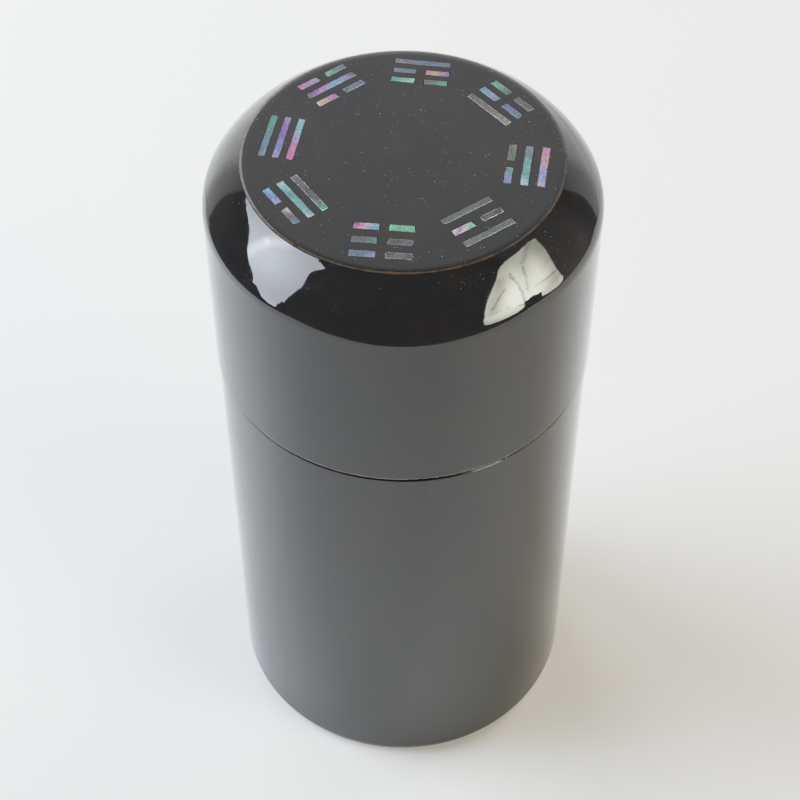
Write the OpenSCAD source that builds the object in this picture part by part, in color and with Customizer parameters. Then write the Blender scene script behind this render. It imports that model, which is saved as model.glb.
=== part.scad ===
// Tall round tea caddy in black lacquer on turned wood.
// A thin collar is glued into the mouth of the body. The deep lid slips over
// that collar and meets the body edge to edge, and a loose inner lid with a
// knob closes the mouth underneath it. The lid's flat top carries the eight
// trigrams, each bar a strip of mother-of-pearl let into the lacquer.
// The caddy's axis is Z, its foot stands on Z = 0 and its front faces -Y.

/* [Overall] */
// Height of the closed caddy
total_h = 141; // [132:1:156]
// Diameter of the lid's side wall
lid_d = 70; // [69:0.5:76]
// Height of the seam where the lid meets the body
seam_h = 96; // [88:1:102]
// Radius of the eased edge on the lid's rim, above the seam
seam_ease = 0.35; // [0.1:0.05:0.6]

/* [Body] */
// How much smaller than the lid the body's radius is
body_step = 0.3; // [0:0.05:0.6]
// Radius of the rounded edge on top of the body's side wall, below the seam
mouth_ease = 0.85; // [0.3:0.05:1.2]
// Thickness of the body's side wall
body_wall = 4; // [3.6:0.1:5]
// Thickness of the body's floor above the hollow in the foot
floor_t = 4; // [3:0.5:6]
// Radius inside the body where the wall meets the floor
inside_round = 5; // [2:0.5:8]
// Radius of the rounded bottom edge
foot_round = 3.2; // [2:0.1:4]
// Width of the flat ring that the caddy stands on
foot_ring_w = 4.5; // [3:0.5:8]
// Depth of the turned hollow inside the foot ring
foot_hollow = 1.5; // [1:0.1:2.5]

/* [Mouth collar] */
// Thickness of the collar's wall
collar_t = 1.7; // [1.4:0.1:2]
// Height of the collar above the seam
collar_up = 14; // [10:1:18]
// Depth of the collar's glued rebate in the body
collar_down = 8; // [6:1:10]

/* [Lid] */
// Diameter of the flat top, out to where its edge would be if it were sharp
flat_d = 55.8; // [54:0.2:58]
// Radius of the softened edge round the flat top
arris_ease = 0.6; // [0.1:0.1:1.5]
// Slope of the shoulder where it leaves the flat top, in degrees
shoulder_slope = 33; // [28:1:38]
// Slope at which the shoulder's upper arc hands over to its lower arc
shoulder_turn = 60; // [55:1:64]
// Radius of the lower arc, which runs into the side wall
shoulder_r = 6.2; // [5:0.1:8]
// Thickness of the wood over the lid's hollow
lid_top_t = 5; // [4:0.5:6]
// Radius inside the lid where the wall meets the ceiling
ceiling_round = 9; // [7:0.5:10]
// Running gap between the collar and the lid's bore
lid_fit = 0.1; // [0.05:0.01:0.1]

/* [Inner lid] */
// Thickness of the inner lid's resting flange
flange_t = 1.8; // [1.5:0.1:2.5]
// Depth of the plug that drops into the collar
plug_h = 4; // [3:0.5:6]
// Gap between the plug and the collar's bore
plug_fit = 0.3; // [0.2:0.05:0.4]
// Largest radius of the knob
knob_r = 6.5; // [5:0.5:8]
// Height of the knob above the inner lid
knob_h = 9; // [7:0.5:11]
// Radius of the knob's tenon, which is glued through the disc
tenon_r = 2.5; // [2:0.1:3]

/* [Trigram ring] */
// Distance from the ring's middle to the middle bar of each trigram
ring_r = 21.3; // [20.5:0.1:21.5]
// Turn of the whole ring on the lid, in degrees
ring_turn = -9.5; // [-22:0.5:22]
// How far the ring's middle lies to the right of the lid's axis
ring_off_x = -0.3; // [-0.4:0.1:0.4]
// How far the ring's middle lies behind the lid's axis
ring_off_y = 1.1; // [0:0.1:1.4]
// Length of a whole bar
bar_l = 10.1; // [9:0.1:10.4]
// Gap between the two halves of a broken bar
bar_gap = 1.6; // [1.2:0.1:2]
// Thickness of the shell strips
shell_t = 0.8; // [0.5:0.1:1.2]

/* [Hidden] */
$fn = 128;

LACQUER = [0.06, 0.06, 0.065];

// Radii and heights that follow from the sizes above
lid_r = lid_d / 2;
flat_r = flat_d / 2;
body_r = lid_r - body_step;
bore_r = body_r - body_wall;
collar_r = bore_r + collar_t;
collar_top = seam_h + collar_up;
lid_bore_r = collar_r + lid_fit;
ceiling_h = total_h - lid_top_t;
body_floor = foot_hollow + floor_t;
foot_flat_r = body_r - foot_round;

// The shoulder is two tangent arcs. The upper one's radius closes the gap in
// plan between the flat top and the side wall.
upper_r = (lid_r - flat_r - shoulder_r * (1 - sin(shoulder_turn)))
    / (sin(shoulder_turn) - sin(shoulder_slope));
shoulder_h = upper_r * (cos(shoulder_slope) - cos(shoulder_turn))
    + shoulder_r * cos(shoulder_turn);
shoulder_z = total_h - shoulder_h;
lower_c = [lid_r - shoulder_r, shoulder_z];
arc_join = lower_c + shoulder_r * [sin(shoulder_turn), cos(shoulder_turn)];
upper_c = arc_join - upper_r * [sin(shoulder_turn), cos(shoulder_turn)];

// A small arc, tangent to the flat top and to the upper arc, softens the edge
// between them. It leaves the upper arc at arris_turn above the horizontal.
arris_z = total_h - arris_ease;
arris_c = [upper_c[0] + sqrt(pow(upper_r - arris_ease, 2) - pow(arris_z - upper_c[1], 2)),
    arris_z];
arris_turn = atan2(arris_c[1] - upper_c[1], arris_c[0] - upper_c[0]);
arris_join = arris_c + arris_ease * [cos(arris_turn), sin(arris_turn)];

// The trigrams clockwise from the left as seen from above, starting at 180
// degrees. Bars run from the ring's middle outwards: 1 is whole, 0 is broken.
TRIGRAMS = [
    ["heaven", [1, 1, 1]], ["water", [0, 1, 0]], ["mountain", [0, 0, 1]],
    ["thunder", [1, 0, 0]], ["wind", [0, 1, 1]], ["fire", [1, 0, 1]],
    ["earth", [0, 0, 0]], ["lake", [1, 1, 0]]
];

// The strips were set by hand, so each trigram strays a little from the even
// ring: [turn round the ring, degrees; shift outwards; own twist, degrees;
// pitch of its bars; width of its strips; added length of its strips]
HAND_SET = [
    [-0.6, -0.4, -0.4, 2.45, 1.25, 0.5], [-0.1, 0.1, 3.0, 2.75, 1.30, 0.0],
    [0.1, -0.1, 1.5, 2.50, 1.25, 0.0], [0.8, 0.3, 4.0, 2.75, 1.35, 0.0],
    [0.5, 0.3, 0.5, 2.85, 1.35, -0.2], [1.4, -0.2, -1.8, 3.15, 1.35, 0.0],
    [1.3, 0.4, 2.8, 3.20, 1.50, 0.3], [-2.0, -0.1, 1.5, 2.80, 1.35, -0.1]
];

function trigram(name) = [for (i = [0:7]) if (TRIGRAMS[i][0] == name) i][0];

// A pie slice of a circle between two angles, used to draw a true arc
module slice(c, r, a0, a1) {
    am = (a0 + a1) / 2;
    intersection() {
        translate(c) circle(r = r);
        polygon([c, c + 2 * r * [cos(a0), sin(a0)], c + 2 * r * [cos(am), sin(am)],
            c + 2 * r * [cos(a1), sin(a1)]]);
    }
}

// Outline of the lid, from its rim to the flat top, as if it were solid
module lid_outline() {
    polygon([[0, seam_h], [lid_r - seam_ease, seam_h], [lid_r, seam_h + seam_ease],
        [lid_r, shoulder_z], arc_join, arris_join, [arris_c[0], total_h], [0, total_h]]);
    translate([lid_r - seam_ease, seam_h + seam_ease]) circle(r = seam_ease);
    slice(lower_c, shoulder_r, 0, 90 - shoulder_turn);
    slice(upper_c, upper_r, 90 - shoulder_turn, arris_turn);
    slice(arris_c, arris_ease, arris_turn, 90);
}

// Outline of the lid's hollow
module lid_hollow() {
    in_r = lid_bore_r;
    polygon([[0, seam_h - 1], [in_r, seam_h - 1], [in_r, ceiling_h - ceiling_round],
        [in_r - ceiling_round, ceiling_h], [0, ceiling_h]]);
    slice([in_r - ceiling_round, ceiling_h - ceiling_round], ceiling_round, 0, 90);
}

// Outline of the body, from the foot to the seam, as if it were solid
module body_outline() {
    c = [foot_flat_r, foot_round];
    polygon([[0, 0], [foot_flat_r, 0], [body_r, foot_round], [body_r, seam_h - mouth_ease],
        [body_r - mouth_ease, seam_h], [0, seam_h]]);
    slice(c, foot_round, -90, 0);
    translate([body_r - mouth_ease, seam_h - mouth_ease]) circle(r = mouth_ease);
}

// Outline of the body's hollow, with a rounded corner at the floor
module body_hollow() {
    polygon([[0, body_floor], [bore_r - inside_round, body_floor],
        [bore_r, body_floor + inside_round], [bore_r, seam_h + 1], [0, seam_h + 1]]);
    slice([bore_r - inside_round, body_floor + inside_round], inside_round, -90, 0);
}

// Places its children at one strip of a trigram. Rows count -1, 0 and 1 from
// the middle of the ring outwards. Left is the half on the left hand of
// someone in the middle of the ring who looks outwards.
module at_strip(name, row, side) {
    i = trigram(name);
    h = HAND_SET[i];
    half_off = (bar_l + h[5] + bar_gap) / 4 * side;
    translate([ring_off_x, ring_off_y, total_h - shell_t])
        rotate(180 - 45 * i + ring_turn + h[0])
            translate([ring_r + h[1], 0, 0])
                rotate(h[2])
                    translate([row * h[3], half_off, 0]) children();
}

// One strip as a plain bar, a little taller when it cuts its own pocket
module strip_bar(name, side, extra) {
    h = HAND_SET[trigram(name)];
    whole = bar_l + h[5];
    len = side == 0 ? whole : (whole - bar_gap) / 2;
    translate([-h[4] / 2, -len / 2, 0]) cube([h[4], len, shell_t + extra]);
}

// One strip of mother-of-pearl: row -1 inner, 0 middle, 1 outer;
// side 1 left, -1 right, 0 a whole bar
module shell_strip(name, row, side, tint = "lightsteelblue") {
    color(tint) at_strip(name, row, side) strip_bar(name, side, 0);
}

// All the pockets that the strips sit in
module strip_pockets() {
    for (t = TRIGRAMS, row = [-1:1])
        if (t[1][row + 1] == 1) at_strip(t[0], row, 0) strip_bar(t[0], 0, 1);
        else for (side = [-1, 1]) at_strip(t[0], row, side) strip_bar(t[0], side, 1);
}

// Turned body with a foot ring, a round-cornered hollow and a rebated mouth
module body_shell() {
    color(LACQUER) difference() {
        rotate_extrude() body_outline();
        rotate_extrude() body_hollow();
        translate([0, 0, seam_h - collar_down]) cylinder(r = collar_r, h = collar_down + 1);
        translate([0, 0, -1])
            cylinder(r = foot_flat_r - foot_ring_w, h = foot_hollow + 1);
    }
}

// Thin ring glued in the rebate; its upper part guides the lid
module mouth_collar() {
    ease = 0.5;
    color(LACQUER) rotate_extrude()
        polygon([[bore_r, seam_h - collar_down], [collar_r, seam_h - collar_down],
            [collar_r, collar_top - ease], [collar_r - ease, collar_top],
            [bore_r + ease, collar_top], [bore_r, collar_top - ease]]);
}

// Disc that rests on the collar, with a plug below and a hole for the knob
module inner_lid_disc() {
    ease = 0.4;
    rim_r = collar_r - 0.2;
    plug_r = bore_r - plug_fit;
    color(LACQUER) difference() {
        rotate_extrude()
            polygon([[0, collar_top - plug_h], [plug_r - ease, collar_top - plug_h],
                [plug_r, collar_top - plug_h + ease], [plug_r, collar_top],
                [rim_r, collar_top], [rim_r, collar_top + flange_t - ease],
                [rim_r - ease, collar_top + flange_t], [0, collar_top + flange_t]]);
        translate([0, 0, collar_top - plug_h - 1])
            cylinder(r = tenon_r, h = plug_h + flange_t + 2);
    }
}

// Turned knob: a waisted stem with a domed head, on a tenon through the disc
module inner_lid_knob() {
    neck_r = tenon_r + 1;
    head_h = knob_h * 0.45;
    head_z = knob_h - head_h;
    dome_r = (knob_r * knob_r + head_h * head_h) / (2 * head_h);
    color(LACQUER) {
        translate([0, 0, collar_top - plug_h])
            cylinder(r = tenon_r, h = plug_h + flange_t + 1);
        translate([0, 0, collar_top + flange_t]) rotate_extrude() {
            polygon([[0, 0], [neck_r + 0.8, 0], [neck_r, 1.2], [neck_r, head_z - 1],
                [knob_r, head_z], [0, head_z]]);
            intersection() {
                translate([0, knob_h - dome_r]) circle(r = dome_r);
                translate([0, head_z]) square([knob_r + 1, head_h + 1]);
            }
        }
    }
}

// Deep lid: straight skirt, convex shoulder, flat top with the strip pockets
module lid_shell() {
    color(LACQUER) difference() {
        rotate_extrude() lid_outline();
        rotate_extrude() lid_hollow();
        strip_pockets();
    }
}

body_shell();
mouth_collar();
inner_lid_disc();
inner_lid_knob();
lid_shell();

shell_strip("heaven", -1, 0, "plum");  // shell_heaven_inner
shell_strip("heaven", 0, 0, "mediumpurple");  // shell_heaven_middle
shell_strip("heaven", 1, 0, "cadetblue");  // shell_heaven_outer
shell_strip("water", -1, 1, "orchid");  // shell_water_inner_left
shell_strip("water", -1, -1, "slategray");  // shell_water_inner_right
shell_strip("water", 0, 0, "cornflowerblue");  // shell_water_middle
shell_strip("water", 1, 1, "orchid");  // shell_water_outer_left
shell_strip("water", 1, -1, "mediumseagreen");  // shell_water_outer_right
shell_strip("mountain", -1, 1, "mediumaquamarine");  // shell_mountain_inner_left
shell_strip("mountain", -1, -1, "cadetblue");  // shell_mountain_inner_right
shell_strip("mountain", 0, 1, "lightslategray");  // shell_mountain_middle_left
shell_strip("mountain", 0, -1, "orchid");  // shell_mountain_middle_right
shell_strip("mountain", 1, 0, "lightsteelblue");  // shell_mountain_outer
shell_strip("thunder", -1, 0, "rosybrown");  // shell_thunder_inner
shell_strip("thunder", 0, 1, "cadetblue");  // shell_thunder_middle_left
shell_strip("thunder", 0, -1, "slateblue");  // shell_thunder_middle_right
shell_strip("thunder", 1, 1, "darkseagreen");  // shell_thunder_outer_left
shell_strip("thunder", 1, -1, "dimgray");  // shell_thunder_outer_right
shell_strip("wind", -1, 1, "darkseagreen");  // shell_wind_inner_left
shell_strip("wind", -1, -1, "slateblue");  // shell_wind_inner_right
shell_strip("wind", 0, 0, "cadetblue");  // shell_wind_middle
shell_strip("wind", 1, 0, "plum");  // shell_wind_outer
shell_strip("fire", -1, 0, "darkseagreen");  // shell_fire_inner
shell_strip("fire", 0, 1, "dimgray");  // shell_fire_middle_left
shell_strip("fire", 0, -1, "orchid");  // shell_fire_middle_right
shell_strip("fire", 1, 0, "darkseagreen");  // shell_fire_outer
shell_strip("earth", -1, 1, "mediumseagreen");  // shell_earth_inner_left
shell_strip("earth", -1, -1, "orchid");  // shell_earth_inner_right
shell_strip("earth", 0, 1, "slategray");  // shell_earth_middle_left
shell_strip("earth", 0, -1, "mediumaquamarine");  // shell_earth_middle_right
shell_strip("earth", 1, 1, "dimgray");  // shell_earth_outer_left
shell_strip("earth", 1, -1, "lightsteelblue");  // shell_earth_outer_right
shell_strip("lake", -1, 0, "darkseagreen");  // shell_lake_inner
shell_strip("lake", 0, 0, "mediumaquamarine");  // shell_lake_middle
shell_strip("lake", 1, 1, "dimgray");  // shell_lake_outer_left
shell_strip("lake", 1, -1, "cornflowerblue");  // shell_lake_outer_right
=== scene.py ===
"""Looks for the tall lacquered tea caddy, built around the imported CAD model.

The turned wooden parts keep their CAD shapes and get lacquer materials. Each
mother-of-pearl strip is rebuilt as a thin hand-cut plate inside its pocket.
"""

import math
import random

import bpy
from mathutils import Matrix, Vector


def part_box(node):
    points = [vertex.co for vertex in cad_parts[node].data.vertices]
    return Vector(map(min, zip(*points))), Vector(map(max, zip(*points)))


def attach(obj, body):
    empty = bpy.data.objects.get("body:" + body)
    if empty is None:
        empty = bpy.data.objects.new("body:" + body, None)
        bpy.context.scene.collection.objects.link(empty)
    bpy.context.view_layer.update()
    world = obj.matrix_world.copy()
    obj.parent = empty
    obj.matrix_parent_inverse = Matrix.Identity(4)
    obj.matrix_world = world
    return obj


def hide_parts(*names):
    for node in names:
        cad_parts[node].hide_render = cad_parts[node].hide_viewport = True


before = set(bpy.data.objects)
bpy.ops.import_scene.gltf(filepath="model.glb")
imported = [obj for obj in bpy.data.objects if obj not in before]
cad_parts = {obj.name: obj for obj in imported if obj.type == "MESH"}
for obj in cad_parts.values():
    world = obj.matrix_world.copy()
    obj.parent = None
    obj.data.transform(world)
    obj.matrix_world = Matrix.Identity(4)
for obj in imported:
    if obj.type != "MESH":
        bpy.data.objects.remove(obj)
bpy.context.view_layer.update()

MM = 0.001
LID_LO, LID_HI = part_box("lid_shell")
BODY_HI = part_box("body_shell")[1]
COLLAR_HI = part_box("mouth_collar")[1]
DISC_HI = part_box("inner_lid_disc")[1]
KNOB_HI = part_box("inner_lid_knob")[1]


# ---------------------------------------------------------------- node tools

def linear(rgb):
    """An sRGB colour, 0 to 255, as linear RGBA."""
    out = []
    for c in rgb:
        c /= 255
        out.append(c / 12.92 if c <= 0.04045 else ((c + 0.055) / 1.055) ** 2.4)
    return (*out, 1.0)


class Tree:
    """Short ways to add and link shader nodes."""

    def __init__(self, owner):
        owner.use_nodes = True
        self.tree = owner.node_tree
        self.tree.nodes.clear()

    def node(self, kind, attributes=None, **inputs):
        made = self.tree.nodes.new(kind)
        for key, value in (attributes or {}).items():
            setattr(made, key, value)
        for key, value in inputs.items():
            self.put(made.inputs[key.replace("_", " ")], value)
        return made

    def put(self, socket, value):
        if isinstance(value, bpy.types.NodeSocket):
            self.tree.links.new(value, socket)
        else:
            socket.default_value = value

    def math(self, operation, a, b=0.0, c=0.0):
        made = self.tree.nodes.new("ShaderNodeMath")
        made.operation = operation
        for socket, value in zip(made.inputs, (a, b, c)):
            self.put(socket, value)
        return made.outputs[0]

    def ramp01(self, value, low, high):
        """0 below low, 1 above high and smooth in between; low may be the larger."""
        made = self.tree.nodes.new("ShaderNodeMapRange")
        made.interpolation_type = "SMOOTHSTEP"
        for key, number in (("Value", value), ("From Min", low), ("From Max", high)):
            self.put(made.inputs[key], number)
        return made.outputs["Result"]

    def mix(self, factor, a, b):
        made = self.tree.nodes.new("ShaderNodeMix")
        made.data_type = "RGBA"
        self.put(made.inputs[0], factor)
        self.put(made.inputs[6], a)
        self.put(made.inputs[7], b)
        return made.outputs[2]

    def mix_shaders(self, factor, a, b):
        made = self.node("ShaderNodeMixShader", Fac=factor)
        self.put(made.inputs[1], a)
        self.put(made.inputs[2], b)
        return made.outputs[0]

    def vector_math(self, operation, a, b):
        made = self.tree.nodes.new("ShaderNodeVectorMath")
        made.operation = operation
        self.put(made.inputs[0], a)
        self.put(made.inputs[1], b)
        return made

    def vector(self, operation, a, b=(0.0, 0.0, 0.0)):
        """A vector operation whose result is a vector, such as ADD."""
        return self.vector_math(operation, a, b).outputs["Vector"]

    def measure(self, operation, a, b=(0.0, 0.0, 0.0)):
        """A vector operation whose result is a number, such as LENGTH."""
        return self.vector_math(operation, a, b).outputs["Value"]

    def xyz(self, vector):
        return self.node("ShaderNodeSeparateXYZ", Vector=vector).outputs

    def noise(self, vector, scale, detail=2.0, roughness=0.5, distortion=0.0):
        made = self.node("ShaderNodeTexNoise", Vector=vector, Scale=scale, Detail=detail,
                         Roughness=roughness, Distortion=distortion)
        return made.outputs["Fac"]

    def specks(self, vector, cell, share, small, large):
        """Dots in a share of cells of that size; their radii run from small to large."""
        cells = self.node("ShaderNodeTexVoronoi", Vector=vector, Scale=1 / cell)
        chance = self.node("ShaderNodeSeparateColor", Color=cells.outputs["Color"])
        radius = self.math("MULTIPLY_ADD", chance.outputs[1], (large - small) / cell,
                           small / cell)
        inside = self.ramp01(self.math("DIVIDE", cells.outputs["Distance"], radius), 1.0, 0.5)
        chosen = self.math("LESS_THAN", chance.outputs[0], share)
        return self.math("MULTIPLY", inside, chosen)

    def position_mm(self):
        """Object coordinates in millimetres, the distance from the axis, and the height."""
        at = self.node("ShaderNodeTexCoord").outputs["Object"]
        at = self.vector("MULTIPLY", at, (1 / MM, 1 / MM, 1 / MM))
        x, y, z = self.xyz(at)
        flat = self.node("ShaderNodeCombineXYZ", X=x, Y=y)
        return at, self.measure("LENGTH", flat.outputs[0]), z

    def show(self, shader, output="ShaderNodeOutputMaterial"):
        """Makes a shader the material's surface, or the world's."""
        self.put(self.node(output).inputs["Surface"], shader)


# ------------------------------------------------------------------ lacquer

BLACK, WARM_BLACK = (0.0052, 0.0052, 0.0060, 1), (0.0095, 0.0074, 0.0064, 1)
SATIN_DARK, SATIN_PALE = (0.010, 0.0085, 0.0075, 1), (0.020, 0.016, 0.013, 1)
WOOD, PALE_WOOD = linear((50, 33, 21)), linear((80, 62, 47))
# The colour of dust, also the tone of the painted highlights on the lid's edges
DUST_AND_HIGHLIGHT = linear((176, 178, 176))
LACQUER_IOR = 1.5
# The lower specular level paints shade into the seam under the lid
FULL_SHINE, SEAM_SHADE_SHINE = 0.5, 0.07  # specular levels

# How much rougher the lacquer is where it is scratched, dusty and so on, and in the painted
# shade at the seam
HAIR_ROUGH, DUST_ROUGH, WORN_ROUGH, SEAM_SHADE_ROUGH, SATIN_ROUGH = 0.16, 0.5, 0.35, 0.12, 0.24
HAIR_PALE = 0.05  # share of the colour of dust in a scratch
LEFT_HIGHLIGHT_PALE = 0.22  # the same in the painted highlight on edges on the left, where the light falls

# Heights of the bumps, in millimetres
DUST_HIGH, RINGS_HIGH = 0.012, 0.006
ROLL_OFF = 0.085  # how the flat top drops, times the square of the way past rolls_from


def band(t, value, centre, half_width, wobble):
    """1 on a line at centre and 0 half_width away, its width broken up by wobble."""
    away = t.math("ABSOLUTE", t.math("SUBTRACT", value, centre))
    reach = t.math("MULTIPLY", wobble, half_width)
    return t.math("SUBTRACT", 1.0, t.ramp01(t.math("DIVIDE", away, reach), 0.55, 1.0))


def hairlines(t, at):
    """1 in hairline scratches: thin level lines of stretched noise, kept in patches."""
    hairs = None
    for turn, stretch in ((0.5, 26.0), (2.1, 20.0), (2.9, 32.0)):
        turned = t.node("ShaderNodeVectorRotate", {"rotation_type": "Z_AXIS"},
                        Vector=at, Angle=turn)
        thin = t.vector("MULTIPLY", turned.outputs[0], (0.05, stretch * 0.05, 0.05))
        line = t.noise(thin, scale=2.2, detail=1.0)
        line = t.math("ABSOLUTE", t.math("SUBTRACT", line, 0.5))
        line = t.ramp01(line, 0.004, 0.0)
        hairs = line if hairs is None else t.math("MAXIMUM", hairs, line)
    patches = t.ramp01(t.noise(at, scale=0.22), 0.5, 0.68)
    return t.math("MULTIPLY", hairs, patches)


def dust_specks(t, at, amount):
    """Up to amount in dust and pinprick marks: loose clusters, densest on level faces."""
    cluster = t.ramp01(t.noise(at, scale=0.11, detail=3.0, roughness=0.7), 0.36, 0.62)
    upward = t.xyz(t.node("ShaderNodeNewGeometry").outputs["Normal"])[2]
    lying = t.math("MULTIPLY_ADD", t.ramp01(upward, 0.5, 0.95), 0.85, 0.15)
    fine = t.specks(at, cell=0.52, share=0.34, small=0.03, large=0.11)
    coarse = t.specks(at, cell=1.5, share=0.08, small=0.05, large=0.16)
    specks = t.math("MULTIPLY", t.math("MAXIMUM", fine, coarse), cluster)
    return t.math("MULTIPLY", specks, t.math("MULTIPLY", lying, amount))


def turning_rings(t, radius, height, scale):
    """Noise that is the same all the way round the axis, as tool marks are."""
    turned = t.node("ShaderNodeCombineXYZ", X=radius, Y=height)
    return t.noise(turned.outputs[0], scale=scale, detail=3.0)


def lacquer(name, gloss, ripple, wear_and_highlight_lines, inside=None, *, dust, grooves=0.0,
            seam_shade_above=None, rolls_from=None, highlit_from_x=None):
    """Black lacquer. gloss is its roughness, and ripple and grooves are the heights of its
    waviness and of its turning marks, in micrometres. All else is in millimetres.
    wear_and_highlight_lines are (radius, height, half width, amount, highlight_pale): edges
    rubbed through to brown wood, turned towards the colour of dust by highlight_pale, which
    paints a highlight. inside is a function of (tree, radius, height) that gives 1 where the
    lacquer is satin. Above the height seam_shade_above the lacquer is less shiny and rougher,
    which paints shade into the seam. Polishing has rounded the flat top away from the radius
    rolls_from outwards. Edges are painted paler past the highlit_from_x values of X, a
    painted highlight on the side the light falls from."""
    mat = bpy.data.materials.new(name)
    t = Tree(mat)
    at, radius, height = t.position_mm()

    cloud = t.noise(at, scale=0.09, detail=3.0, roughness=0.6)
    colour = t.mix(t.ramp01(cloud, 0.42, 0.66), BLACK, WARM_BLACK)
    smudge = t.noise(at, scale=0.16, detail=4.0, roughness=0.65, distortion=0.6)
    rough = t.math("MULTIPLY_ADD", t.ramp01(smudge, 0.45, 0.8), gloss * 1.1, gloss)

    hairs = hairlines(t, at)
    dirt = dust_specks(t, at, dust)
    colour = t.mix(dirt, colour, DUST_AND_HIGHLIGHT)
    colour = t.mix(t.math("MULTIPLY", hairs, HAIR_PALE), colour, DUST_AND_HIGHLIGHT)
    rough = t.math("MULTIPLY_ADD", hairs, HAIR_ROUGH, rough)
    rough = t.math("MULTIPLY_ADD", dirt, DUST_ROUGH, rough)

    # Edges where the lacquer has rubbed through to brown wood, and painted highlights: lines
    # paled towards the colour of dust
    wobble = t.noise(at, scale=0.33, detail=4.0, roughness=0.7)
    wobble = t.math("MULTIPLY_ADD", wobble, 1.5, 0.25)
    patchy = t.ramp01(t.noise(at, scale=0.24, detail=4.0, roughness=0.7), 0.30, 0.52)
    wood = t.mix(t.noise(at, scale=1.6, detail=3.0), WOOD, PALE_WOOD)
    for line_r, line_z, half, amount, highlight_pale in wear_and_highlight_lines:
        wear_and_highlight = t.math("MULTIPLY", band(t, radius, line_r, half, wobble),
                      band(t, height, line_z, half, wobble))
        wear_and_highlight = t.math("MULTIPLY", wear_and_highlight, t.math("MULTIPLY", patchy, amount))
        # Painted highlight: edges turn paler towards -X, the side the light falls from
        if highlit_from_x:
            near_highlit_side = t.ramp01(t.xyz(at)[0], *highlit_from_x)
            highlight_pale = t.math("MULTIPLY_ADD", near_highlit_side, LEFT_HIGHLIGHT_PALE, highlight_pale)
        colour = t.mix(wear_and_highlight, colour, t.mix(highlight_pale, wood, DUST_AND_HIGHLIGHT))
        rough = t.math("MULTIPLY_ADD", wear_and_highlight, WORN_ROUGH, rough)

    # Painted shade: near the top of the body the lacquer is less shiny and rougher, so the
    # seam under the lid stays dark
    shine = FULL_SHINE
    if seam_shade_above:
        seam_shade = t.ramp01(height, seam_shade_above, seam_shade_above + 0.1)
        rough = t.math("MULTIPLY_ADD", seam_shade, SEAM_SHADE_ROUGH, rough)
        shine = t.math("MULTIPLY_ADD", seam_shade, SEAM_SHADE_SHINE - FULL_SHINE, FULL_SHINE)

    bumps = t.math("MULTIPLY", t.noise(at, scale=0.28), ripple / 1000)
    if inside:
        satin = inside(t, radius, height)
        colour = t.mix(satin, colour, t.mix(smudge, SATIN_DARK, SATIN_PALE))
        rough = t.math("MULTIPLY_ADD", satin, SATIN_ROUGH, rough)
        rings = t.math("MULTIPLY", turning_rings(t, radius, height, 3.2), satin)
        bumps = t.math("MULTIPLY_ADD", rings, RINGS_HIGH, bumps)
    if grooves:
        rings = turning_rings(t, radius, height, 2.4)
        bumps = t.math("MULTIPLY_ADD", rings, grooves / 1000, bumps)
    bumps = t.math("MULTIPLY_ADD", dirt, DUST_HIGH, bumps)
    if rolls_from:
        past = t.math("MAXIMUM", t.math("SUBTRACT", radius, rolls_from), 0.0)
        past = t.math("MINIMUM", past, flat_r - rolls_from)
        bumps = t.math("MULTIPLY_ADD", t.math("MULTIPLY", past, past), -ROLL_OFF, bumps)
    bump = t.node("ShaderNodeBump", Strength=1.0, Distance=MM, Height=bumps)

    surface = t.node("ShaderNodeBsdfPrincipled", Base_Color=colour,
                     Roughness=t.math("MINIMUM", rough, 0.9), IOR=LACQUER_IOR,
                     Specular_IOR_Level=shine, Normal=bump.outputs[0])
    t.show(surface.outputs[0])
    return mat


def finish_node(name, mat):
    """Gives a CAD node its material, in its own object's slot."""
    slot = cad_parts[name].material_slots[0]
    slot.link = "OBJECT"
    slot.material = mat


def widest_at_top(name):
    """Radius, in millimetres, of the flat at the top of a CAD node."""
    points = [v.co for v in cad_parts[name].data.vertices]
    top = max(p.z for p in points)
    return max(math.hypot(p.x, p.y) for p in points if p.z > top - 1e-6) / MM


flat_r = widest_at_top("lid_shell")
top_z, seam_z, lid_r = LID_HI.z / MM, LID_LO.z / MM, LID_HI.x / MM
body_r, collar_r = BODY_HI.x / MM, COLLAR_HI.x / MM
collar_top = COLLAR_HI.z / MM
disc_r, disc_top = DISC_HI.x / MM, DISC_HI.z / MM
knob_r, knob_top = KNOB_HI.x / MM, KNOB_HI.z / MM


def lid_inside(t, radius, height):
    """1 on the lid's hollow, which lies under its wall, its top and its shoulder."""
    side = t.ramp01(radius, lid_r - 1.2, lid_r - 1.4)
    under = t.ramp01(height, top_z - 3.0, top_z - 3.2)
    shoulder = t.ramp01(t.math("ADD", radius, height), lid_r + top_z - 15.0,
                        lid_r + top_z - 16.0)
    return t.math("MULTIPLY", side, t.math("MULTIPLY", under, shoulder))


def body_inside(t, radius, height):
    """1 on the body's hollow and on the shallow hollow under its foot."""
    side = t.ramp01(radius, body_r - 1.2, body_r - 1.4)
    above = t.ramp01(height, 3.0, 3.2)
    foot = t.math("MULTIPLY", t.ramp01(height, 1.8, 1.7),
                  t.ramp01(radius, body_r - 3.0, body_r - 3.4))
    return t.math("MAXIMUM", t.math("MULTIPLY", side, above), foot)


# On the lid the arris is worn to brown wood, the line at the lower rim is a painted
# highlight, and both are painted paler on the left, where the light falls
finish_node("lid_shell", lacquer(
    "lacquer_lid", gloss=0.035, ripple=4.0, wear_and_highlight_lines=[
        (flat_r, top_z, 0.28, 0.8, 0.0), (lid_r, seam_z + 0.26, 0.22, 0.65, 0.45)],
    inside=lid_inside, dust=0.62, rolls_from=flat_r - 1.2, highlit_from_x=(-16.0, -26.0)))
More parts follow.
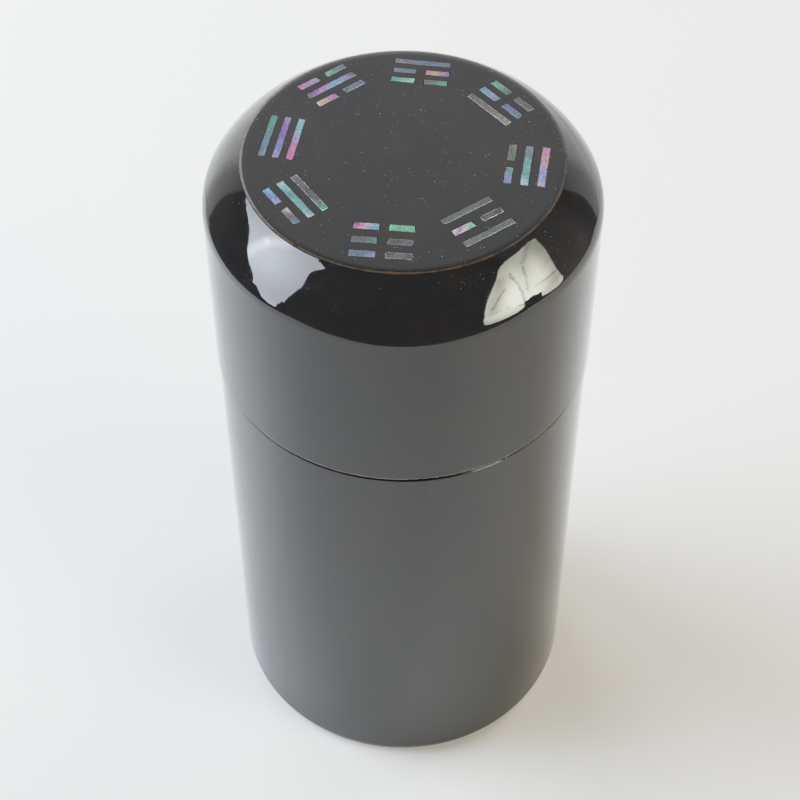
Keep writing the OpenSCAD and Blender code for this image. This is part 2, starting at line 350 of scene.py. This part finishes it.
# Painted shade: the body is dulled above seam_z - 0.78, standing in for the shadow in the
# seam
finish_node("body_shell", lacquer(
    "lacquer_body", gloss=0.04, ripple=4.0, wear_and_highlight_lines=[
        (body_r - 3.4, 0.0, 0.7, 0.8, 0.0)],
    inside=body_inside, dust=0.45, seam_shade_above=seam_z - 0.78))
finish_node("mouth_collar", lacquer(
    "lacquer_collar", gloss=0.2, ripple=3.0, wear_and_highlight_lines=[
        (collar_r - 0.3, collar_top - 0.3, 0.7, 0.8, 0.0)],
    dust=0.3, grooves=5.0))
inner_lid = lacquer(
    "lacquer_inner_lid", gloss=0.16, ripple=3.0, wear_and_highlight_lines=[
        (disc_r - 0.2, disc_top - 0.2, 0.55, 0.8, 0.0),
        (knob_r, knob_top - 4.0, 0.4, 0.7, 0.0)],
    dust=0.3, grooves=5.0)
finish_node("inner_lid_disc", inner_lid)
finish_node("inner_lid_knob", inner_lid)


# --------------------------------------------------------- mother-of-pearl

HUES = {
    "mint": (126, 214, 168), "green": (84, 178, 134), "teal": (78, 142, 132),
    "aqua": (118, 196, 196), "cyan": (92, 172, 214), "sky": (128, 166, 222),
    "steel": (98, 126, 156), "blue": (104, 124, 206), "violet": (118, 92, 168),
    "lavender": (158, 144, 206), "orchid": (198, 118, 200), "rose": (220, 106, 164),
    "peach": (214, 146, 130), "gold": (198, 166, 112), "cream": (236, 226, 214),
    "blush": (226, 186, 206), "stone": (134, 128, 118), "brown": (104, 88, 84),
    "slate": (96, 102, 110), "moss": (84, 104, 94), "smoke": (84, 86, 88),
    "ice": (168, 214, 222), "soot": (56, 57, 60),
}
CHIPPED = linear((190, 190, 184))
NACRE_IOR = 1.53
# Each strip's colours in order along it, counter-clockwise round the lid, and
# how strongly its edges show light
PLATES = {
    "shell_heaven_inner": ("aqua aqua lavender rose rose", 0.1),
    "shell_heaven_middle": ("lavender violet violet blue lavender", 0.1),
    "shell_heaven_outer": ("teal teal steel steel", 0.1),
    "shell_water_inner_left": ("violet orchid gold cream", 0.2),
    "shell_water_inner_right": ("violet slate steel moss", 0.3),
    "shell_water_middle": ("brown violet sky cyan lavender orchid violet smoke", 0.25),
    "shell_water_outer_left": ("lavender lavender orchid rose", 0.1),
    "shell_water_outer_right": ("smoke steel teal mint", 0.1),
    "shell_mountain_inner_left": ("ice mint teal green", 0.2),
    "shell_mountain_inner_right": ("green teal slate moss", 0.2),
    "shell_mountain_middle_left": ("slate steel slate steel", 0.1),
    "shell_mountain_middle_right": ("violet orchid gold peach rose", 0.3),
    "shell_mountain_outer": ("slate steel slate steel slate stone", 0.1),
    "shell_thunder_inner": ("stone stone brown slate smoke", 0.6),
    "shell_thunder_middle_left": ("blue lavender cyan teal", 0.3),
    "shell_thunder_middle_right": ("teal slate blue slate", 0.3),
    "shell_thunder_outer_left": ("moss teal green teal", 0.2),
    "shell_thunder_outer_right": ("smoke brown smoke", 0.3),
    "shell_wind_inner_left": ("moss slate moss stone", 0.3),
    "shell_wind_inner_right": ("blue lavender teal green", 0.2),
    "shell_wind_middle": ("ice aqua teal aqua teal steel stone", 0.3),
    "shell_wind_outer": ("blush sky lavender blush peach orchid", 0.2),
    "shell_fire_inner": ("moss moss slate moss smoke", 0.15),
    "shell_fire_middle_left": ("soot slate soot soot", 0.8),
    "shell_fire_middle_right": ("cream lavender orchid cream aqua mint", 0.3),
    "shell_fire_outer": ("stone moss moss slate moss", 0.12),
    "shell_earth_inner_left": ("mint green mint green", 0.3),
    "shell_earth_inner_right": ("violet rose blush cyan aqua", 0.2),
    "shell_earth_middle_left": ("brown soot slate smoke", 0.3),
    "shell_earth_middle_right": ("brown slate moss teal", 0.3),
    "shell_earth_outer_left": ("soot slate slate soot", 0.8),
    "shell_earth_outer_right": ("steel steel slate steel lavender", 0.2),
    "shell_lake_inner": ("slate brown soot slate green", 0.8),
    "shell_lake_middle": ("ice aqua teal aqua teal ice", 0.25),
    "shell_lake_outer_left": ("blush brown slate steel", 0.2),
    "shell_lake_outer_right": ("sky cyan blue lavender sky", 0.2),
}


def gap_to_edge(t, share, length):
    """How far a point is from the nearer end, in millimetres. share runs from 0 to 1."""
    from_middle = t.math("ABSOLUTE", t.math("SUBTRACT", share, 0.5))
    return t.math("MULTIPLY", t.math("SUBTRACT", 0.5, from_middle), length)


def nacre(name, hues, outline, length, width, seed):
    """Polished shell: hues flow along the strip and drift with the grain. length and
    width are in millimetres, and run with the mesh's UVs. outline is how strongly the
    chipped edges show. seed moves the noise, so that no two strips are alike."""
    mat = bpy.data.materials.new(name)
    t = Tree(mat)
    uv = t.node("ShaderNodeUVMap").outputs[0]
    here = t.vector("MULTIPLY", uv, (length, width, 1.0))
    here = t.vector("ADD", here, (seed * 7.3, seed * 3.1, seed * 1.7))
    along, across, _ = t.xyz(uv)

    drift = t.noise(here, scale=0.55, detail=3.0, roughness=0.6, distortion=0.4)
    drift = t.math("SUBTRACT", drift, 0.5)
    slant = t.math("MULTIPLY", t.math("SUBTRACT", across, 0.5), width / length * 0.9)
    flow = t.math("ADD", along, t.math("MULTIPLY_ADD", drift, 0.42, slant))
    ramp = t.node("ShaderNodeValToRGB", Fac=flow)
    ramp.color_ramp.interpolation = "B_SPLINE"
    stops = ramp.color_ramp.elements
    while len(stops) < len(hues):
        stops.new(0.5)
    for i, hue in enumerate(hues):
        stops[i].position = i / (len(hues) - 1)
        stops[i].color = linear(HUES[hue])

    # Growth lines run nearly along the strip, and cloudy patches lie under them
    grain = t.vector("MULTIPLY", here, (0.35, 2.6, 1.0))
    grain = t.noise(grain, scale=1.5, detail=4.0, roughness=0.62, distortion=1.2)
    patches = t.noise(here, scale=1.4, detail=4.0, roughness=0.6, distortion=0.8)
    mottle = t.noise(here, scale=3.0, detail=3.0, roughness=0.7, distortion=1.0)
    value = t.math("MULTIPLY_ADD", t.ramp01(grain, 0.30, 0.70), 0.24, 0.34)
    value = t.math("MULTIPLY", value, t.math("MULTIPLY_ADD", patches, 0.9, 0.57))
    value = t.math("MULTIPLY", value, t.math("ADD", t.ramp01(mottle, 0.34, 0.66), 0.55))
    hue = t.math("MULTIPLY_ADD", t.math("ADD", patches, mottle), 0.10, 0.40)
    tuned = t.node("ShaderNodeHueSaturation", Hue=hue, Saturation=0.92, Value=value,
                   Color=ramp.outputs["Color"])

    # Light chipped rims, broken up twice
    gap = t.math("MINIMUM", gap_to_edge(t, along, length), gap_to_edge(t, across, width))
    rim = t.ramp01(gap, 0.17, 0.04)
    long_breaks = t.noise(here, scale=1.1, detail=3.0, roughness=0.7)
    short_breaks = t.noise(here, scale=4.2, detail=2.0, roughness=0.6)
    rim = t.math("MULTIPLY", rim, t.ramp01(long_breaks, 0.38, 0.60))
    rim = t.math("MULTIPLY", rim, t.ramp01(short_breaks, 0.34, 0.56))
    colour = t.mix(t.math("MULTIPLY", rim, outline), tuned.outputs[0], CHIPPED)

    rough = t.math("MULTIPLY_ADD", patches, 0.14, 0.13)
    ridges = t.math("MULTIPLY_ADD", grain, 0.004, t.math("MULTIPLY", patches, 0.006))
    bump = t.node("ShaderNodeBump", Strength=1.0, Distance=MM, Height=ridges)
    surface = t.node("ShaderNodeBsdfPrincipled", Base_Color=colour, Roughness=rough,
                     IOR=NACRE_IOR, Normal=bump.outputs[0])
    surface.inputs["Coat Weight"].default_value = 0.35
    surface.inputs["Coat Roughness"].default_value = 0.06
    t.show(surface.outputs[0])
    return mat


# How unevenly a plate is cut, in millimetres
GAP = 0.018  # left all round it in its pocket
EASE = 0.022  # rounding of its top arrises
EDGE_WANDER, END_SLANT, END_CHIPS, TOP_DIP = 0.055, 0.13, 0.05, 0.014
RISE = (0.004, 0.030)  # how far its top stands above the lid
TILT_ALONG, TILT_ACROSS = 0.004, 0.012  # its greatest slopes


def len_of(v):
    return v.length


def strip_frame(node):
    """Top centre, the directions along and across, and the length, width and depth of a
    CAD strip. Along is counter-clockwise round the lid, and across points outwards."""
    points = [v.co.copy() for v in node.data.vertices]
    top, floor = max(p.z for p in points), min(p.z for p in points)
    corners = []
    for p in points:
        if p.z > top - 1e-6 and all((p - c).length > 1e-5 for c in corners):
            corners.append(p)
    centre = sum(corners, Vector()) / len(corners)
    corners.sort(key=lambda p: math.atan2(p.y - centre.y, p.x - centre.x))
    side_a, side_b = corners[1] - corners[0], corners[2] - corners[1]
    long_side, short_side = max(side_a, side_b, key=len_of), min(side_a, side_b, key=len_of)
    along = long_side.normalized()
    if centre.cross(along).z < 0:
        along.negate()
    across = Vector((along.y, -along.x, 0.0))
    return centre, along, across, long_side.length, short_side.length, top - floor


def bumpy(rng, count, amount, knots):
    """count values from 0 to amount that wander smoothly through random knots."""
    marks = [rng.random() * amount for _ in range(knots)]
    out = []
    for i in range(count):
        x = i / (count - 1) * (knots - 1)
        k = min(int(x), knots - 2)
        f = x - k
        f = f * f * (3 - 2 * f)
        out.append(marks[k] * (1 - f) + marks[k + 1] * f)
    return out


def cut_plate(name, node, rng):
    """A hand-cut shell plate in a strip's pocket: edges a little uneven, ends a little
    slanted, arrises rubbed round, and a top that isn't perfectly flat."""
    centre, along, across, length, width, depth = strip_frame(node)
    n_along, n_across = (40 if length > 6 * MM else 22), 8
    gap, ease = GAP * MM, EASE * MM
    low = bumpy(rng, n_along + 1, EDGE_WANDER * MM, knots=9)
    high = bumpy(rng, n_along + 1, EDGE_WANDER * MM, knots=9)
    slants = [rng.uniform(-END_SLANT, END_SLANT) * MM for _ in range(2)]
    chips = [bumpy(rng, n_across + 1, END_CHIPS * MM, knots=4) for _ in range(2)]
    rise = rng.uniform(*RISE) * MM
    tilt_a = rng.uniform(-TILT_ALONG, TILT_ALONG)
    tilt_b = rng.uniform(-TILT_ACROSS, TILT_ACROSS)
    dips = bumpy(rng, n_along + 1, TOP_DIP * MM, knots=6)

    def end_cut(which, s):
        slant = slants[which]
        return abs(slant) * (s if slant > 0 else 1 - s) + chips[which][round(s * n_across)]

    grid = []
    for i in range(n_along + 1):
        t = i / n_along
        for j in range(n_across + 1):
            s = j / n_across
            start = -length / 2 + gap + ease + end_cut(0, s)
            stop = length / 2 - gap - ease - end_cut(1, s)
            left = -width / 2 + gap + ease + low[i]
            right = width / 2 - gap - ease - high[i]
            a, b = start + (stop - start) * t, left + (right - left) * s
            lift = rise + tilt_a * a + tilt_b * b - dips[i] * (1 - (2 * s - 1) ** 2)
            grid.append((a, b, lift, t, s))
    stride = n_across + 1
    border = [i * stride for i in range(n_along)]
    border += [n_along * stride + j for j in range(n_across)]
    border += [i * stride + n_across for i in range(n_along, 0, -1)]
    border += [j for j in range(n_across, 0, -1)]

    # The top, then a ring just below its eased edge, and a ring at the pocket's floor
    points = [(a, b, z) for a, b, z, _, _ in grid]
    uvs = [(t, s) for *_, t, s in grid]
    ring_count = len(border)
    for drop in (ease, depth):
        for k in border:
            a, b, z, t, s = grid[k]
            out_a = ease if t == 1 else -ease if t == 0 else 0.0
            out_b = ease if s == 1 else -ease if s == 0 else 0.0
            points.append((a + out_a, b + out_b, z - ease if drop == ease else -depth))
            uvs.append((t, s))
    faces = []
    for i in range(n_along):
        for j in range(n_across):
            k = i * stride + j
            faces.append((k, k + stride, k + stride + 1, k + 1))
    first, second = len(grid), len(grid) + ring_count
    for k in range(ring_count):
        n = (k + 1) % ring_count
        faces.append((border[k], first + k, first + n, border[n])[::-1])
        faces.append((first + k, second + k, second + n, first + n)[::-1])
    faces.append(tuple(second + k for k in range(ring_count)))

    mesh = bpy.data.meshes.new(name)
    mesh.from_pydata([centre + along * a + across * b + Vector((0, 0, z))
                      for a, b, z in points], [], faces)
    layer = mesh.uv_layers.new(name="along_across")
    for loop in mesh.loops:
        layer.data[loop.index].uv = uvs[loop.vertex_index]
    mesh.polygons.foreach_set("use_smooth", [True] * len(mesh.polygons))
    mesh.set_sharp_from_angle(angle=math.radians(50))
    mesh.validate()
    plate = bpy.data.objects.new(name, mesh)
    bpy.context.scene.collection.objects.link(plate)
    return plate, length / MM, width / MM


shaper = random.Random(4108)  # the same plates each run
for number, (node_name, (hues, outline)) in enumerate(PLATES.items()):
    plate_name = node_name.replace("shell_", "plate_")
    plate, plate_l, plate_w = cut_plate(plate_name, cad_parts[node_name], shaper)
    plate.data.materials.append(nacre(
        plate_name + "_nacre", hues.split(), outline, plate_l, plate_w, number + 1))
    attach(plate, "lid")
    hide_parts(node_name)


# ------------------------------------------------------------ floor, lights

def stage_mesh(name, points, faces, mat):
    mesh = bpy.data.meshes.new(name)
    mesh.from_pydata(points, [], faces)
    mesh.materials.append(mat)
    made = bpy.data.objects.new(name, mesh)
    bpy.context.scene.collection.objects.link(made)
    return made


GROUND, GROUND_LEVEL = (0.985, 0.99, 1.0), 1.95  # the even pale ground all round
FADE_NEAR, FADE_FAR = 0.35, 1.3  # the floor turns into it between these distances


def floor_material(name, fades):
    """Matt pale paper. Where it fades, it turns into the pale ground further out."""
    mat = bpy.data.materials.new(name)
    t = Tree(mat)
    at = t.node("ShaderNodeTexCoord").outputs["Object"]
    cloud = t.noise(at, scale=5.0, detail=4.0, roughness=0.6)
    grain = t.noise(at, scale=900.0)
    colour = t.mix(cloud, linear((233, 233, 231)), linear((238, 238, 237)))
    bump = t.node("ShaderNodeBump", Strength=0.15, Distance=0.0002, Height=grain)
    surface = t.node("ShaderNodeBsdfPrincipled", Base_Color=colour, Roughness=0.75,
                     Normal=bump.outputs[0])
    surface.inputs["Specular IOR Level"].default_value = 0.15
    shown = surface.outputs[0]
    if fades:
        far = t.node("ShaderNodeEmission", Color=(*GROUND, 1), Strength=GROUND_LEVEL)
        farness = t.ramp01(t.measure("LENGTH", at), FADE_NEAR, FADE_FAR)
        shown = t.mix_shaders(farness, shown, far.outputs[0])
    t.show(shown)
    return mat


def rectangle(x0, x1, y0, y1, z):
    return [(x0, y0, z), (x1, y0, z), (x1, y1, z), (x0, y1, z)], [(0, 1, 2, 3)]


# The table ends not far from the caddy; the pale sheet beyond it is for the camera only
TABLE = {"x0": -0.25, "x1": 0.385, "y0": -0.178, "y1": 0.62, "z": 0.0}
AROUND = {"x0": -6, "x1": 6, "y0": -6, "y1": 6, "z": -0.4 * MM}
stage_mesh("table_top", *rectangle(**TABLE), floor_material("pale_floor", fades=False))
surround = stage_mesh("floor_around", *rectangle(**AROUND),
                      floor_material("pale_floor_around", fades=True))
for flag in ("visible_diffuse", "visible_glossy", "visible_transmission", "visible_shadow"):
    setattr(surround, flag, False)


LIGHT_DISTANCE = 1.1


def direction(azimuth, elevation):
    """A unit vector, from angles in degrees."""
    a, e = math.radians(azimuth), math.radians(elevation)
    return Vector((math.cos(e) * math.cos(a), math.cos(e) * math.sin(a), math.sin(e)))


def arc_distance(t, way, start, end):
    """How far a direction is from the arc between two others, in radians."""
    chord = end - start
    share = t.measure("DOT_PRODUCT", t.vector("SUBTRACT", way, start),
                      chord / chord.length_squared)
    share = t.math("MINIMUM", t.math("MAXIMUM", share, 0.0), 1.0)
    along = t.node("ShaderNodeVectorMath", {"operation": "SCALE"}, Scale=share)
    along.inputs[0].default_value = chord
    nearest = t.vector("NORMALIZE", t.vector("ADD", along.outputs[0], start))
    return t.measure("DISTANCE", way, nearest)


def panel(name, seen_from, outline, colour, strength, hot, hot_gain, reach, lines,
          shaded=None):
    """A soft light panel, seen only in reflections. Its outline is a list of (azimuth,
    elevation), in degrees, seen from a point on the lid. Its brightness is strength, and
    rises by hot_gain of that within reach of the direction hot. Its cloth has ridges and
    folds along arcs: (start, end, half width in radians, gain). shaded is (Y where shade
    starts, Y where it is full, share of light it takes)."""
    rounded = [tuple(a * (1 - f) + b * f for a, b in zip(p, q))
               for p, q in zip(outline, outline[1:] + outline[:1]) for f in (0.2, 0.8)]
    points = [seen_from + direction(*p) * LIGHT_DISTANCE for p in rounded]
    mat = bpy.data.materials.new(name)
    t = Tree(mat)
    at = t.node("ShaderNodeTexCoord").outputs["Object"]
    away = t.measure("DISTANCE", at, seen_from + direction(*hot) * LIGHT_DISTANCE)
    glow = t.ramp01(away, reach * LIGHT_DISTANCE, 0.0)
    glow = t.math("MULTIPLY_ADD", glow, hot_gain * strength, strength)

    # Directions, swayed a little so that no fold is quite straight
    way = t.vector("NORMALIZE", t.vector("SUBTRACT", at, seen_from))
    sway = t.node("ShaderNodeTexNoise", Vector=way, Scale=6.0, Detail=2.0)
    sway = t.vector("SUBTRACT", sway.outputs["Color"], (0.5, 0.5, 0.5))
    way = t.vector("ADD", way, t.vector("MULTIPLY", sway, (0.08, 0.08, 0.08)))
    for start, end, half, gain in lines:
        away = arc_distance(t, way, direction(*start), direction(*end))
        change = t.math("MULTIPLY_ADD", t.ramp01(away, half, 0.0), gain, 1.0)
        glow = t.math("MULTIPLY", glow, change)
    if shaded:
        starts, full, share = shaded
        shade = t.ramp01(t.xyz(at)[1], starts, full)
        glow = t.math("MULTIPLY", glow, t.math("MULTIPLY_ADD", shade, -share, 1.0))
    light = t.node("ShaderNodeEmission", Color=(*colour, 1), Strength=glow)
    t.show(light.outputs[0])
    made = stage_mesh(name, points, [tuple(range(len(points)))], mat)
    made.visible_camera = made.visible_diffuse = made.visible_shadow = False


shoulder_z = LID_HI.z - 6 * MM
panel("softbox_left", Vector((-0.030, 0.0, shoulder_z)), [
    (199, -22), (205, -21), (207, -12), (209, 0), (211, 10), (213, 20), (214, 28), (212, 35),
    (210, 42), (211, 47), (214, 53), (206, 53), (199, 54), (190, 54), (180, 51), (165, 44),
    (150, 34), (139, 24), (145, 23), (152, 25), (161, 26), (168, 25), (174, 20), (178, 15),
    (183, 10), (188, 7), (190, 4), (193, -3), (195, -9), (197, -17)],
    colour=(0.81, 0.875, 1.0), strength=12.6, hot=(182, 27), hot_gain=0.75, reach=0.55,
    lines=[((180, 12), (179, 34), 0.075, 0.40), ((179, 34), (186, 50), 0.075, 0.40)],
    shaded=(0.03, 0.10, 0.22))
panel("softbox_right", Vector((0.030, 0.0, shoulder_z)), [
    (309, -15), (320, -16), (329, -14), (331, 3), (333, 8), (338, 7), (341, 3), (342, -13),
    (356, -19), (356, -2), (354, 6), (356, 19), (361, 33), (364, 38), (359, 41), (350, 43),
    (342, 45), (334, 44), (326, 38), (319, 31), (313, 22), (309, 12), (308, -2)],
    colour=(1.0, 1.0, 0.83), strength=10.0, hot=(330, 13), hot_gain=2.4, reach=0.6,
    lines=[((344, 34), (335, 12), 0.026, -0.55), ((344, 34), (335, 12), 0.12, -0.20),
           ((334, 35), (331, 6), 0.024, -0.60), ((325, 25), (314, 14), 0.026, -0.55),
           ((314, 12), (326, 33), 0.16, -0.45), ((340, 10), (357, 5), 0.024, -0.60),
           ((321, 10), (331, -5), 0.026, -0.50), ((359, 40), (345, 34), 0.05, -0.30),
           ((352, -6), (358, 4), 0.026, -0.60), ((361, 14), (349, 1), 0.20, -0.45),
           ((361, 36), (355, 18), 0.18, -0.40)])


# What lights the floor and the shell from the same sides, unseen in reflections: each
# lamp's name, place, width, power and colour
LAMPS = (
    ("key_left", (-1.0, 0.0, 0.45), 0.9, 15.5, (0.72, 0.82, 1.0)),
    ("key_back_left", (-0.95, 0.25, 0.6), 0.9, 26.5, (0.86, 0.94, 1.0)),
    ("fill_right", (0.93, -0.5, 0.35), 0.6, 18.0, (1.0, 0.90, 0.72)),
    ("back_right", (0.8, 0.6, 1.0), 0.6, 8.2, (1.0, 0.95, 0.83)),
    ("back_low", (-0.3, 0.7, 0.5), 0.4, 3.9, (0.97, 0.94, 1.0)),
)
for name, place, size, energy, colour in LAMPS:
    data = bpy.data.lights.new(name, "AREA")
    data.shape, data.size, data.energy, data.color = "SQUARE", size, energy, colour
    lamp = bpy.data.objects.new(name, data)
    lamp.location = place
    lamp.rotation_euler = (-lamp.location).to_track_quat("-Z", "Y").to_euler()
    lamp.visible_camera = lamp.visible_glossy = False
    bpy.context.scene.collection.objects.link(lamp)

# The backdrop's brightness by azimuth, in degrees, from its right edge to its left
BACKDROP = ((33.2, 0.0), (33.8, 0.75), (43, 0.85), (50, 1.5), (75, 1.8), (105, 2.2),
            (130, 2.2), (137, 1.1), (146.7, 0.75), (147.3, 0.0))
# The room's brightness, and how much paler it is in front and on the right
ROOM, ROOM_FRONT, ROOM_RIGHT = 0.22, 0.12, 0.27


def studio_world():
    """A dim room with a pale backdrop behind the table, paler at its foot. The camera
    itself sees the even pale ground in every direction."""
    world = bpy.data.worlds.new("studio")
    t = Tree(world)
    way = t.node("ShaderNodeTexCoord").outputs["Generated"]
    x, y, z = t.xyz(way)
    brightest = max(level for _, level in BACKDROP)
    turn = t.math("DIVIDE", t.math("ARCTAN2", y, x), math.pi)
    sheet = t.node("ShaderNodeValToRGB", Fac=turn)
    stops = sheet.color_ramp.elements
    while len(stops) < len(BACKDROP):
        stops.new(0.5)
    for stop, (azimuth, level) in zip(stops, BACKDROP):
        stop.position, stop.color = azimuth / 180, (*[level / brightest] * 3, 1)
    foot = t.math("MULTIPLY_ADD", t.ramp01(z, 0.62, 0.10), 0.47, 0.53)
    fade = t.math("MULTIPLY", foot, t.ramp01(z, 0.98, 0.66))
    glow = t.math("MULTIPLY", sheet.outputs["Color"], t.math("MULTIPLY", fade, brightest))
    front = t.math("MULTIPLY_ADD", t.ramp01(y, 0.0, -0.6), ROOM_FRONT, ROOM)
    glow = t.math("ADD", glow, front)
    right = t.math("MULTIPLY", t.ramp01(turn, 30 / 180, 14 / 180),
                   t.ramp01(turn, -22 / 180, -10 / 180))
    glow = t.math("MULTIPLY_ADD", right, ROOM_RIGHT, glow)
    room = t.node("ShaderNodeBackground", Color=(0.98, 0.99, 1.0, 1), Strength=glow)
    ground = t.node("ShaderNodeBackground", Color=(*GROUND, 1), Strength=GROUND_LEVEL)
    seen = t.node("ShaderNodeLightPath").outputs["Is Camera Ray"]
    t.show(t.mix_shaders(seen, room.outputs[0], ground.outputs[0]), "ShaderNodeOutputWorld")
    return world


bpy.context.scene.world = studio_world()
bpy.context.scene.world.cycles_visibility.diffuse = False


# ------------------------------------------------------------------- camera

EYE, AIM = Vector((0.0, -0.2407, 0.3608)), Vector((-0.00054, 0.0, 0.0767))
ROLL = 0.0002

lens = bpy.data.cameras.new("camera")
lens.sensor_width, lens.lens = 36.0, 85.35
lens.clip_start, lens.clip_end = 0.01, 50.0
lens.dof.use_dof = False
camera = bpy.data.objects.new("camera", lens)
bpy.context.scene.collection.objects.link(camera)
camera.location = EYE
camera.rotation_mode = "QUATERNION"
roll = Matrix.Rotation(ROLL, 3, (AIM - EYE).normalized()).to_quaternion()
camera.rotation_quaternion = roll @ (AIM - EYE).to_track_quat("-Z", "Y")
bpy.context.scene.camera = camera


def camera_tones(white=4.0, knee=1.1, softness=1.5, steps=16):
    """A photographic tone curve: dark tones stay as they are, and bright ones level off
    smoothly instead of clipping. Its steps are closest together in the dark tones."""
    settings = bpy.context.scene.view_settings
    settings.view_transform, settings.look = "Standard", "None"
    settings.exposure, settings.gamma = 0.0, 1.0
    settings.use_curve_mapping = True
    mapping = settings.curve_mapping
    mapping.white_level = (white, white, white)
    curve = mapping.curves[3]  # the one for all three channels
    for k in range(1, steps):
        curve.points.new((k / steps) ** 2, 0.5)
    for k, point in enumerate(curve.points):
        x = white * (k / steps) ** 2
        shown = x / (1 + (x / knee) ** softness) ** (1 / softness)
        point.location = ((k / steps) ** 2, min(shown, 1.0))
        point.handle_type = "AUTO_CLAMPED"
    mapping.update()


camera_tones()
